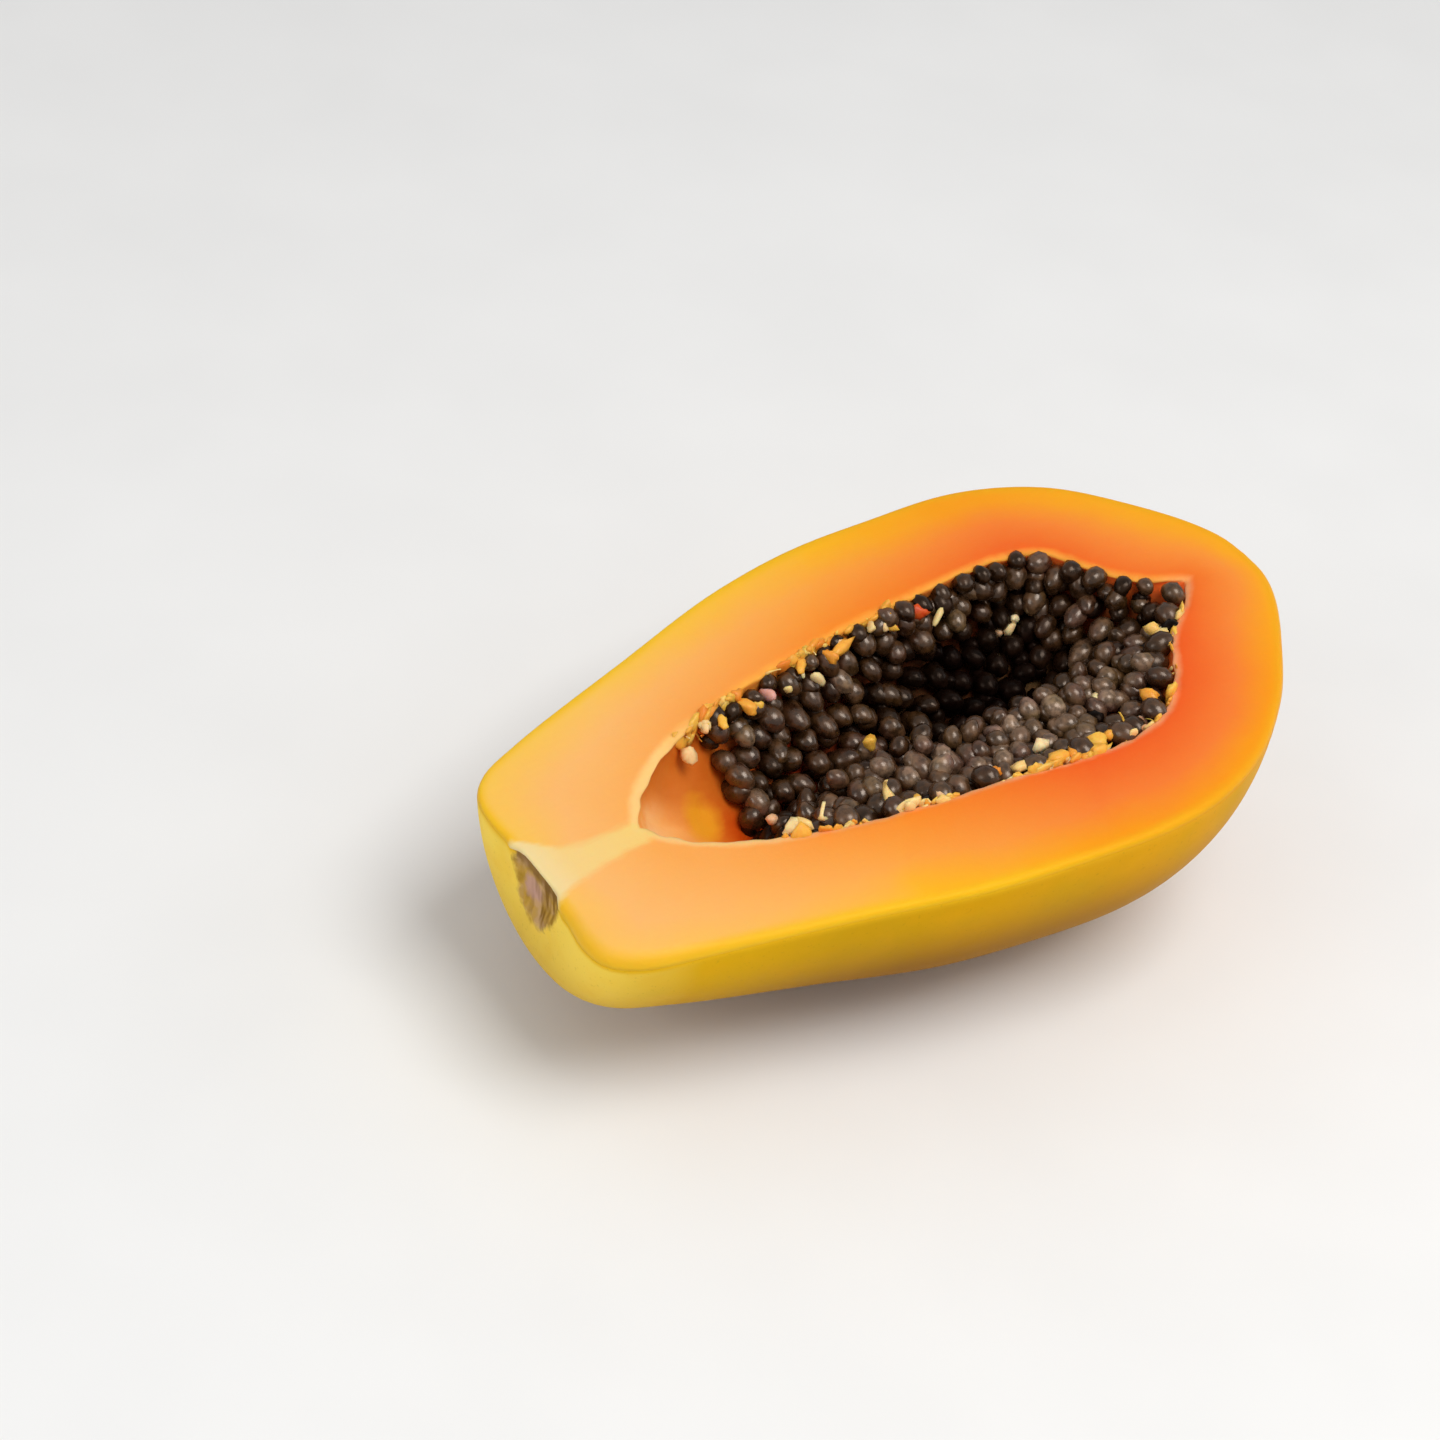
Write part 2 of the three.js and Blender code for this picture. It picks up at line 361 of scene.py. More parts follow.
def break_off_stem(bm):
    for vert in bm.verts:
        fade = min(max((SCAR_DEPTH[1] - vert.co.x) / (SCAR_DEPTH[1] - SCAR_DEPTH[0]), 0), 1)
        if fade > 0:
            ragged = 1 + 0.12 * noise.noise(vert.co / 2.5)
            away = ragged * math.hypot(
                (vert.co.y - SCAR_CENTRE[0]) / SCAR_REACH[0], (vert.co.z - SCAR_CENTRE[1]) / SCAR_REACH[1])
            sunk = SCAR_SINK * min(max((1 - away) / 0.2, 0), 1)
            raised = SCAR_LIP * math.exp(-((away - 1.08) / 0.1) ** 2)
            vert.co.x += (sunk - raised) * fade


SKIN_STEPS = 72
LIP_DEPTH = 0.02  # just below the cut, so that the rounding takes the lip down with the surface


def make_skin():
    """A thin shell with its lip under the rounded edge of the cut, sunk where the stem broke off."""
    bm = bmesh.new()
    spin_half(bm, fruit_outline, SKIN_STEPS)
    bmesh.ops.remove_doubles(bm, verts=bm.verts, dist=0.01)
    bmesh.ops.recalc_face_normals(bm, faces=bm.faces)
    if sum(face.normal.z for face in bm.faces) > 0:
        bmesh.ops.reverse_faces(bm, faces=bm.faces)
    bmesh.ops.solidify(bm, geom=bm.faces, thickness=SKIN_THICKNESS)
    for vert in bm.verts:
        if vert.co.z > -0.3:
            vert.co.z = -LIP_DEPTH
    for edge in bm.edges:
        edge.smooth = any(vert.co.z < -LIP_DEPTH - 0.01 for vert in edge.verts)
    mark_places(bm)
    round_rim(bm)
    break_off_stem(bm)
    grow_all(bm)
    return to_object(bm, "papaya_skin")


# ---------------------------------------------------------------- seeds and what lies between them


def make_draw(state):
    """Draws the same numbers between 0 and 1 as the solid's own rule."""
    while True:
        state = (state * 1664525 + 1013904223) % 4294967296
        yield state / 4294967296


def seed_angles(distance, radius, stagger):
    """Angles evenly spaced along the wall's section, from the near rim round to the bare strip."""
    angles = np.linspace(0, math.pi, SECTION_STEPS + 1)
    reach = np.array([max(radius * cavity_swell(distance, angle) - SEED_LIFT, 0) for angle in angles])
    steps = np.hypot(np.diff(reach * np.cos(angles)), np.diff(reach * np.sin(angles)))
    runs = np.r_[0, np.cumsum(steps)]
    room = max(runs[-1] - SEED_FAR_GAP, 0)
    count = max(1, round(room / SEED_SPACING))
    return np.interp(room * (np.arange(count) + stagger) / count, runs, angles)


def seed_rows():
    """Places of the seeds on the wall, with the direction off it: the same rule as the solid has."""
    draw = make_draw(SEED_DRAW)
    fine = smooth_outline(CAVITY_OUTLINE, 4001)
    length = np.linalg.norm(np.diff(fine, axis=0), axis=1).sum()
    rows = round(length / (SEED_SPACING * math.sqrt(3) / 2))
    places = []
    for row in range(rows + 1):
        index = round(4000 * row / rows)
        distance, radius = fine[index]
        slope = fine[min(index + 1, 4000)] - fine[max(index - 1, 0)]
        if SEED_FROM <= distance <= SEED_TO:
            for even_angle in seed_angles(distance, radius, SEED_STAGGERS[row % 2]):
                angle = even_angle + SEED_WANDER * (next(draw) - 0.5) / radius
                along = distance + SEED_WANDER * (next(draw) - 0.5)
                places.append((along, radius, angle, slope / np.linalg.norm(slope)))
    return places


def scattered_places(chance, gap, distances, angles):
    """Chance places on the wall, each at least a gap from the others, until no more are found."""
    places, points, misses = [], [], 0
    while misses < 150:
        along, angle = chance.uniform(*distances), chance.uniform(*angles)
        radius, slope = wall_at(along)
        point = on_wall(along, radius, angle)
        if all((point - other).length_squared > gap * gap for other in points):
            points.append(point)
            places.append((along, radius, angle, slope))
            misses = 0
        else:
            misses += 1
    return places


SEED_SIDES = 10
SEED_PROFILE = [(-1, 0), (-0.88, 0.48), (-0.45, 0.9), (0.1, 1), (0.6, 0.8), (0.91, 0.38), (1, 0)]


def finish_template(bm, name):
    bm.verts.layers.float.new("tone")
    mesh = bpy.data.meshes.new(name)
    bm.to_mesh(mesh)
    bm.free()
    return mesh


def make_seed_template(name, uneven, start):
    """An ovoid a little thinner at the end that hangs, one unit from its middle to each end."""
    bm = bmesh.new()
    verts = [bm.verts.new((radius, 0, height)) for height, radius in SEED_PROFILE]
    edges = [bm.edges.new(pair) for pair in zip(verts, verts[1:])]
    bmesh.ops.spin(
        bm, geom=verts + edges, cent=(0, 0, 0), axis=(0, 0, 1), angle=2 * math.pi, steps=SEED_SIDES,
        use_merge=True)
    bmesh.ops.remove_doubles(bm, verts=bm.verts, dist=0.001)
    bmesh.ops.recalc_face_normals(bm, faces=bm.faces)
    for vert in bm.verts:
        vert.co *= 1 + uneven * noise.noise(vert.co * 0.9 + Vector((start, start, 0)))
    return finish_template(bm, name)


def make_lump_template(name, start):
    """A small uneven lump."""
    bm = bmesh.new()
    bmesh.ops.create_icosphere(bm, subdivisions=2, radius=1)
    for vert in bm.verts:
        vert.co *= 1 + 0.55 * noise.noise(vert.co * 1.4 + Vector((start, 0, 0)))
    return finish_template(bm, name)


THREAD_RADIUS = 0.07  # of a strand one unit long


def make_thread_template(name, bow):
    """A tapered strand, one unit long up +Z, bowed to one side."""
    bm = bmesh.new()
    bmesh.ops.create_cone(bm, cap_ends=True, segments=6, radius1=1, radius2=0.3, depth=1)
    long_edges = [edge for edge in bm.edges if abs(edge.verts[0].co.z - edge.verts[1].co.z) > 0.5]
    bmesh.ops.subdivide_edges(bm, edges=long_edges, cuts=4)
    bmesh.ops.translate(bm, verts=bm.verts, vec=(0, 0, 0.5))
    for vert in bm.verts:
        height = vert.co.z
        vert.co.xy *= THREAD_RADIUS * (1 + 0.3 * math.sin(8 * height))
        vert.co.x += bow * math.sin(math.pi * height)
    return finish_template(bm, name)


def scatter(name, placed):
    """Joins a copy of a template for each (template, matrix, tone), laid down with the fruit."""
    bm = bmesh.new()
    for template, matrix, tone in placed:
        copy = template.copy()
        copy.transform(LAY_DOWN @ matrix)
        copy.attributes["tone"].data.foreach_set("value", [tone] * len(copy.vertices))
        bm.from_mesh(copy)
        bpy.data.meshes.remove(copy)
    return to_object(bm, name)


def standing(point, away, scale, turn):
    """The matrix of a copy whose +Z points away, at a point, turned about that direction."""
    facing = away.to_track_quat("Z", "Y") @ Quaternion((0, 0, 1), turn)
    return Matrix.LocRotScale(point, facing, Vector(scale))


FULL_TURN = 6.3  # radians, for a chance turn about a copy's own axis


def sway(chance, away, swing, droop):
    """A direction near the one off the wall, swung by chance and hanging by the droop."""
    swung = Vector([chance.uniform(-swing, swing) for _ in range(3)])
    return (away + swung - Vector((0, 0, droop))).normalized()


# Where the hollow is deepest, low on the far wall, the seeds are painted dark, as painted shade, and few hang
# over the others.
DEEP_DISTANCES = (112, 142, 168, 182)
DEEP_ANGLES = (1.4, 1.85, 2.6, 2.85)
HEAP_CREST = (0.7, 1.1)  # the heap's seeds darken between these angles, where they turn from the light
NEAR_WALL = 1.6  # the angle at which the near wall ends
# Uneven rows close under the far rim: where each starts and ends along the fruit, how far down it hangs.
RIM_ROWS = [(70, 128, (2.9, 4.4)), (128, 195, (1.4, 3.2)), (131, 195, (5.4, 7.4))]


def deep_at(along, angle):
    return rounded(along, DEEP_DISTANCES) * rounded(angle, DEEP_ANGLES)


def make_seeds():
    """Ripe seeds: one layer on the wall, smaller ones between painted dark as painted shade, some that hang
    over them on the far wall and close under its rim, and round ones heaped on the bed, painted lighter as
    painted light."""
    chance = random.Random(11)
    shapes = [make_seed_template(f"seed_shape_{i}", 0.24, 5.7 * i) for i in range(4)]
    placed = []

    def stand(place, lift, size, stretch, swing, droop, tones):
        along, radius, angle, slope = place
        away = off_wall(slope, angle)
        point = grow(on_wall(along, radius, angle)) + away * chance.uniform(*lift)
        wide = chance.uniform(*size) * SEED_RADIUS
        long = wide * chance.uniform(*stretch) * SEED_HALF_LENGTH / SEED_RADIUS
        past_crest = (angle - HEAP_CREST[0]) / (HEAP_CREST[1] - HEAP_CREST[0]) if angle < NEAR_WALL else 0
        # Each seed's tone is partly chance and partly painted light and shade: lowered as painted shade deep
        # in the hollow and past the heap's crest, with dark ranges for the lower seeds and light ones for the
        # bed, the heap and the seeds that hang over the others.
        tone = chance.uniform(*tones) * (1 - 0.9 * deep_at(along, angle))
        tone *= 1 - 0.7 * min(max(past_crest, 0), 1)
        shape = chance.choice(shapes)
        way = sway(chance, away, swing, droop)
        radii = (wide, wide * chance.uniform(0.86, 1.04), long)
        placed.append((shape, standing(point, way, radii, chance.uniform(0, FULL_TURN)), tone))

    for place in seed_rows():
        bed, far = bed_at(place[0], place[2]), place[2] > 1.7
        stand(place, (SEED_LIFT, SEED_LIFT + 0.8), (0.9, 1.06), (0.86, 1.04), 0.35, 0.5 if far else 0.2,
              (0.12 + 0.25 * bed, 0.5 + 0.3 * bed))
    for place in scattered_places(chance, 5.2, (SEED_FROM + 3, SEED_TO - 6), (0.2, math.pi - 0.3)):
        stand(place, (0.6, 1.6), (0.72, 0.88), (0.9, 1.05), 0.4, 0.3, (0.0, 0.2))
    for place in scattered_places(chance, 7.8, (SEED_FROM + 4, SEED_TO - 12), (1.75, math.pi - 0.3)):
        if place[1] > 12 and chance.random() > deep_at(place[0], place[2]):
            stand(place, (4.4, 6.4), (0.84, 1.14), (0.92, 1.18), 0.4, 0.9, (0.3, 0.85))
    for along, end, under in RIM_ROWS:
        while along < end:
            radius, slope = wall_at(along)
            place = (along, radius, math.pi - chance.uniform(*under) / radius, slope)
            stand(place, (0.8, 2.6), (0.7, 1.02), (0.86, 1.1), 0.8, 0.2, (0.1, 0.7))
            along += chance.uniform(4.8, 7.4) * slope[0]
    for place in scattered_places(chance, 5.7, (SEED_FROM + 6, SEED_TO - 10), (0.12, 1.6)):
        bed = bed_at(place[0], place[2])
        if chance.random() < bed * 1.6:
            stand(place, (4.6, 7.4), (0.78, 0.94), (0.86, 1.0), 1.0, 0.0, (0.45, 1.0))
    for place in scattered_places(chance, 6.6, (105, 180), (0.42, 1.3)):
        if chance.random() < 0.75:
            stand(place, (7.6, 9.4), (0.76, 0.9), (0.86, 1.0), 1.0, 0.0, (0.55, 1.0))
    return scatter("papaya_seeds", placed)


# Pale bits that stand out: where in the fruit (along, across, depth), half sizes, tone.
PALE_SEEDS = [
    ((58.5, 18.8, 5.2), (1.9, 1.6, 2.5), 0.6), ((87.2, 25.2, 4.0), (2.6, 1.3, 1.6), 0.8),
    ((93.2, 25.0, 5.0), (1.3, 1.0, 1.7), 0.2), ((102.7, 25.2, 6.5), (1.1, 1.5, 2.8), 0.1),
    ((142.4, 29.2, 5.5), (0.9, 0.8, 2.6), 0.15), ((164.7, 24.9, 17.3), (1.9, 1.4, 2.1), 0.1),
    ((162.4, 26.3, 18.7), (1.3, 1.4, 1.9), 0.3), ((166.4, 25.0, 15.0), (1.2, 1.2, 2.0), 0.0),
    ((133.7, -23.3, 4.0), (2.3, 1.6, 1.8), 0.05), ((160.0, -14.2, 9.0), (2.6, 1.7, 1.6), 0.1),
    ((69.9, -1.8, 15.5), (1.5, 1.3, 1.9), 0.3), ((184.7, -11.1, 2.6), (1.9, 1.6, 2.3), 0.2),
]
TORN_BITS = [
    ((63.1, -16.8, 1.8), (2.6, 1.3, 0.9), 0.0), ((66.5, -17.6, 1.6), (1.8, 1.1, 0.9), 0.1),
    ((113.6, -27.0, 1.6), (1.9, 1.2, 1.0), 0.6), ((116.5, -27.8, 1.5), (1.5, 1.0, 1.1), 0.75),
    ((123.5, -29.0, 1.7), (2.6, 1.4, 1.0), 0.1), ((133.0, -30.8, 1.6), (3.2, 1.7, 1.3), 0.45),
    ((137.0, -31.2, 1.6), (2.0, 1.3, 1.1), 0.6), ((145.1, -30.9, 2.0), (2.4, 1.7, 1.4), 0.3),
    ((149.0, -30.6, 1.8), (1.5, 1.2, 1.1), 0.5), ((167.3, -25.6, 2.6), (2.2, 1.6, 1.5), 0.55),
    ((94.2, -25.6, 1.6), (1.3, 1.0, 1.0), 0.4), ((126.9, 31.6, 3.0), (3.0, 1.1, 1.3), 0.3),
    ((130.5, 32.0, 2.6), (1.9, 0.9, 1.1), 0.45), ((137.2, 31.3, 3.4), (2.2, 1.1, 1.5), 1.0),
    ((109.3, 10.2, 19.5), (1.4, 1.4, 2.0), 0.35), ((184.0, -8.6, 2.2), (1.6, 1.3, 1.3), 0.2),
    ((111.5, 28.0, 2.0), (3.6, 1.3, 1.1), 0.5), ((107.6, 27.4, 2.4), (2.4, 1.2, 1.2), 0.62),
    ((79.3, 23.2, 2.8), (2.6, 1.2, 1.3), 0.5), ((82.6, 23.6, 3.8), (1.7, 1.1, 1.2), 0.3),
    ((70.2, 21.0, 1.6), (2.2, 1.1, 0.9), 0.35), ((98.5, 27.2, 1.6), (2.4, 1.1, 0.9), 0.45),
]
# Stout strands that stand up or hook over: foot, direction, length, half width, tone.
STOUT_STRANDS = [
    ((72.3, -18.0, 2.6), (0.1, 0.3, 1.0), 4.4, 1.1, 0.0),
    ((89.8, -22.0, 3.4), (0.0, 0.55, 0.85), 6.0, 1.3, 0.1),
    ((153.0, -28.5, 3.0), (0.6, 0.5, 0.5), 4.0, 0.8, 0.3),
]
TORN_SWELL = 1.25  # torn bits are this much larger than their half sizes, as their lumps are uneven
BARE_FAR_RIM = 132.0


def rim_place(chance, side, low, high):
    """A chance place on the wall just under the rim, and the direction off the wall there. Places bunch
    up where the tissue tore off in larger patches. Past BARE_FAR_RIM the far side has few."""
    while True:
        along = chance.uniform(SEED_FROM - 6, SEED_TO - 2)
        bare = 0.8 if side > 0 and along > BARE_FAR_RIM else 0.1
        if noise.noise(Vector((along / 8, side * 3, 0))) + chance.uniform(-0.35, 0.35) > bare:
            break
    radius, slope = wall_at(along)
    under = chance.uniform(low, high) / max(radius, 4)
    angle = under if side < 0 else math.pi - under
    return grow(on_wall(along, radius, angle)), off_wall(slope, angle)


def at(place):
    along, across, depth = place
    return grow(Vector((along, across, -depth / DEPTH_RATIO)))


def make_unripe_seeds():
    """Pale seeds that never ripened, mostly near the rims."""
    chance = random.Random(5)
    shapes = [make_seed_template(f"unripe_shape_{i}", 0.5, 3.1 * i) for i in range(3)]
    placed = []
    for place, radii, tone in PALE_SEEDS:
        way = sway(chance, Vector((0, 0, -0.2)), 0.6, 0)
        placed.append((chance.choice(shapes), standing(at(place), way, radii, 0), tone))
    for side, count in ((-1, 14), (1, 10)):
        for _ in range(count):
            point, away = rim_place(chance, side, 1.2, 5.0)
            size = chance.uniform(0.9, 1.6)
            shape = chance.choice(shapes)
            point += away * chance.uniform(1.0, 3.2)
            way = sway(chance, away, 0.8, 0.2)
            matrix = standing(point, way, (size, size * 0.8, size * 1.4), chance.uniform(0, FULL_TURN))
            placed.append((shape, matrix, chance.random()))
    return scatter("unripe_seeds", placed)


def make_crumbs():
    """Torn bits of the soft tissue that carried the seeds, pressed flat against the wall."""
    chance = random.Random(8)
    shapes = [make_lump_template(f"crumb_shape_{i}", 7.3 * i) for i in range(4)]
    placed = []
    for place, radii, tone in TORN_BITS:
        way = sway(chance, Vector((0, 0, 1)), 0.4, 0)
        scale = [TORN_SWELL * radius for radius in radii]
        placed.append((chance.choice(shapes), standing(at(place), way, scale, 0), tone))
    for side, count, high, tones in ((-1, 90, 2.5, (0, 0.6)), (1, 130, 4.6, (0.2, 0.85))):
        for _ in range(count):
            point, away = rim_place(chance, side, 0.2, high)
            size = 0.5 * math.exp(chance.uniform(0, 1.45))
            radii = [size * chance.uniform(*span) for span in ((0.9, 2.2), (0.8, 1.6), (0.35, 0.7))]
            shape = chance.choice(shapes)
            point += away * chance.uniform(-0.4, 0.6)
            matrix = standing(point, sway(chance, away, 0.3, 0), radii, chance.uniform(0, FULL_TURN))
            placed.append((shape, matrix, chance.uniform(*tones)))
    return scatter("placenta_crumbs", placed)


def make_threads():
    """Strands from the wall to the seeds: a few stout ones and many short thin ones."""
    chance = random.Random(21)
    shapes = [make_thread_template(f"thread_shape_{i}", bow) for i, bow in enumerate((0.05, 0.14, 0.22))]
    placed = []
    for place, way, long, wide, tone in STOUT_STRANDS:
        scale = (wide / THREAD_RADIUS, wide / THREAD_RADIUS, long)
        turn = chance.uniform(0, FULL_TURN)
        placed.append((shapes[2], standing(at(place), Vector(way).normalized(), scale, turn), tone))
    for side, count in ((-1, 24), (1, 40)):
        for _ in range(count):
            point, away = rim_place(chance, side, 1.0, 6.0)
            wide = chance.uniform(3.5, 7.5)
            shape = chance.choice(shapes)
            way = sway(chance, away, 0.9, 0.3)
            scale = (wide, wide, chance.uniform(2.0, 5.0))
            matrix = standing(point - away * 0.4, way, scale, chance.uniform(0, FULL_TURN))
            placed.append((shape, matrix, chance.random()))
    return scatter("placenta_threads", placed)


# ---------------------------------------------------------------- materials

# Settings that many nodes share.
COLOUR_MIX = {"output": 2, "data_type": "RGBA"}
SMOOTH = {"interpolation_type": "SMOOTHSTEP"}


def linear(hex_colour):
    """An sRGB hex colour as the linear colour that the shaders take."""
    channels = [int(hex_colour[i:i + 2], 16) / 255 for i in (1, 3, 5)]
    return tuple(c / 12.92 if c <= 0.04045 else ((c + 0.055) / 1.055) ** 2.4 for c in channels) + (1.0,)


def add_node(tree, kind, inputs=(), output=0, stops=(), **settings):
    """Adds a node and gives one of its outputs. Its inputs are a dict by name or place, or a tuple in the
    node's own order: for MapRange the value, the span it comes from and the span it goes to. An input
    takes a value, a hex colour, or a link where it is given another node's output. The stops are the
    (place, hex colour or grey) pairs of a colour ramp."""
    node = tree.nodes.new("ShaderNode" + kind)
    for name, value in settings.items():
        setattr(node, name, value)
    for name, value in inputs.items() if isinstance(inputs, dict) else enumerate(inputs):
        if isinstance(value, bpy.types.NodeSocket):
            tree.links.new(value, node.inputs[name])
        else:
            node.inputs[name].default_value = linear(value) if isinstance(value, str) else value
    for index, (place, colour) in enumerate(stops):
        elements = node.color_ramp.elements
        element = elements[index] if index < 2 else elements.new(place)
        element.position = place
        element.color = linear(colour) if isinstance(colour, str) else (colour, colour, colour, 1)
    return None if output is None else node.outputs[output]


def new_material(name):
    """An empty material, with the call that adds its nodes and the place on the object that patterns read."""
    material = bpy.data.materials.new(name)
    material.use_nodes = True
    material.node_tree.nodes.clear()
    add = partial(add_node, material.node_tree)
    return material, add, add("TexCoord", output="Object")


# The core: its length and half its width in millimetres, and its shares of that width along the length.
CORE_LENGTH = 40.0
CORE_WIDTH = 11.5
CORE_TAPER = [
    (0.0, 1.0), (0.08, 0.95), (0.16, 0.74), (0.28, 0.5), (0.45, 0.36), (0.75, 0.32), (0.84, 0.24), (0.9, 0.0)]
YELLOW_PATCH = (57.0, 9.0, 17.3)  # along, across and depth of a fibrous patch on the bare wall
MAUVE_PATCH = (3.0, 7.0, 0)  # across and depth of the patch in the scar
# The orange of the painted shade high on the far wall, under the far rim.
FAR_RIM_SHADE_ORANGE = "#d06c1e"


def yellow_by_the_cut(add, along):
    """The yellow of the flesh under the skin and of the skin's lip, warmer past the middle."""
    past_middle = add("MapRange", (along, 90, 160))
    return add("Mix", {0: past_middle, 6: "#efb91a", 7: "#eaa414"}, **COLOUR_MIX)


def ripe_papaya_flesh():
    """Ripe papaya flesh, knife-cut: satin and moist, soft light through it, deep orange-red by the hollow,
    golden at the stem end, yellow under the skin, with a pale fibrous core where the stem fed it."""
    material, add, place = new_material("ripe_papaya_flesh")
    along, across, depth, hollow, rind, share, ripe = (
        add("Attribute", attribute_name=name, output="Fac") for name in PLACE_NAMES)
    cloud, fine, grain = (
        add("TexNoise", {"Vector": place, "Scale": 1 / (size * MM), "Detail": detail})
        for size, detail in ((24, 2), (3, 3), (1.1, 3)))
    fibre, streak = (
        add("TexNoise", {"Vector": add("Mapping", {"Vector": place, "Scale": (squeeze, 1, 1)}),
                         "Scale": 1 / (size * MM), "Detail": 3})
        for squeeze, size in ((0.25, 1.6), (0.3, 5)))
    far = add("MapRange", (across, -4, 4))
    # Colours run from the hollow at 0 to the rind at 1; the clouds, round 0.5, shift them either way.
    shift = add("Math", (cloud, 0.24), operation="MULTIPLY")
    share = add("Math", (share, 0.86, shift), operation="MULTIPLY_ADD")
    belly_share = add("Math", (far, 0.12, share), operation="MULTIPLY_ADD")
    stem_share = add("Math", (far, 0.12, add("Math", (share, -0.12))), operation="MULTIPLY_ADD")
    stem, middle, belly = (
        add("ValToRGB", (at_share,), stops=zip((0.2, 0.6, by_rind), colours))
        for at_share, by_rind, colours in (
            (stem_share, 1.0, ("#f4ac5c", "#f5b66c", "#f3c250")),
            (share, 0.9, ("#f08928", "#f4a040", "#f4b420")),
            (belly_share, 0.9, ("#e85c1e", "#ee7a30", "#f09610"))))
    blossom = add("Math", (across, 0.3, along), operation="MULTIPLY_ADD")
    blossom = add("MapRange", (blossom, 182, 212, 0, 0.45))
    belly = add("Mix", {0: blossom, 6: belly, 7: middle}, **COLOUR_MIX)
    ripe = add("Math", (cloud, 30, ripe), operation="MULTIPLY_ADD")
    # The yellow band under the skin, a few millimetres wide.
    edge = add("Math", (cloud, 3, rind), operation="MULTIPLY_ADD")
    band = add("MapRange", (edge, 5.2, 1.8, 0, 0.9), **SMOOTH)
    # The pale lining that shows as an uneven line round the hollow, wider towards the stem.
    width = add("MapRange", (along, 45, 74, 1.7, 0.45))
    width = add("Math", (fine, 1.2, width), operation="MULTIPLY_ADD")
    lining = add("Math", (width, hollow), operation="SUBTRACT")
    lining = add("MapRange", (lining, -1.5, 1.1, 0, 0.8), **SMOOTH)
    lining_colour = add("Mix", {0: far, 6: "#f9b07c", 7: "#faae45"}, **COLOUR_MIX)
    at_stem = add("MapRange", (along, 70, 50))
    lining_colour = add("Mix", {0: at_stem, 6: lining_colour, 7: "#f9cd84"}, **COLOUR_MIX)
    # The core, a wedge from the stem scar to the point of the hollow.
    core_place = add("Math", (along, CORE_LENGTH), operation="DIVIDE")
    core_width = add("ValToRGB", (core_place,), stops=CORE_TAPER)
    skew = add("MapRange", (along, 2, 12, -2.0, 0.8))
    aside = add("Math", (add("Math", (across, skew)),), operation="ABSOLUTE")
    aside = add("Math", (fibre, 2.2, aside), operation="MULTIPLY_ADD")
    aside = add("Math", (aside, -1), operation="MULTIPLY")
    core = add("Math", (core_width, CORE_WIDTH, aside), operation="MULTIPLY_ADD")
    core = add("MapRange", (core, -2.6, 0.6, 0, 0.9), **SMOOTH)
    core = add("Math", (core, add("MapRange", (along, 37, 31))), operation="MULTIPLY")
    core_colour = add("ValToRGB", (core_place,), stops=[
        (0.08, "#eed6a0"), (0.3, "#eece86"), (0.8, "#f0cd78")])
    # The wall of the hollow: bare and golden at the stem side, wet and deep red-brown under the seeds, and
    # darkened towards black deeper down with painted shade.
    wall_place = add("Math", (streak, 10, along), operation="MULTIPLY_ADD")
    wall = add("ValToRGB", (add("Math", (wall_place, LENGTH), operation="DIVIDE"),), stops=[
        (0.17, "#fcc68a"), (0.225, "#f9ae60"), (0.275, "#ea8626"), (0.315, "#cc4a08"),
        (0.365, "#b0300c"), (0.6, "#5a1a05"), (1.0, "#8a3006")])
    # Painted shade: deep in the hollow, past the stem side, the wall is darkened towards near black.
    shade = add("MapRange", (depth, 12, 22, 0, 0.8))
    shade = add("Math", (shade, add("MapRange", (along, 75, 110))), operation="MULTIPLY")
    # High on the far side, under the far rim, the bare wall is painted a deeper orange: painted shade.
    far_rim_shade = add("MapRange", (across, 6.5, 14, 0, 0.85))
    far_rim_shade = add("Math", (far_rim_shade, add("MapRange", (along, 90, 65))), operation="MULTIPLY")
    patch = add("CombineXYZ", (along, across, depth))
    patch = add("VectorMath", (patch, YELLOW_PATCH), 1, operation="DISTANCE")
    patch = add("Math", (streak, 6, patch), operation="MULTIPLY_ADD")
    patch = add("MapRange", (patch, 10.5, 6, 0, 0.85))
    # Just under the rim the wall is still flesh-coloured.
    strip = add("ValToRGB", (add("Math", (along, LENGTH), operation="DIVIDE"),), stops=[
        (0.15, "#f2a04c"), (0.3, "#f09638"), (0.55, "#f09438"), (0.8, "#ea6a2a"), (0.9, "#e05a20")])
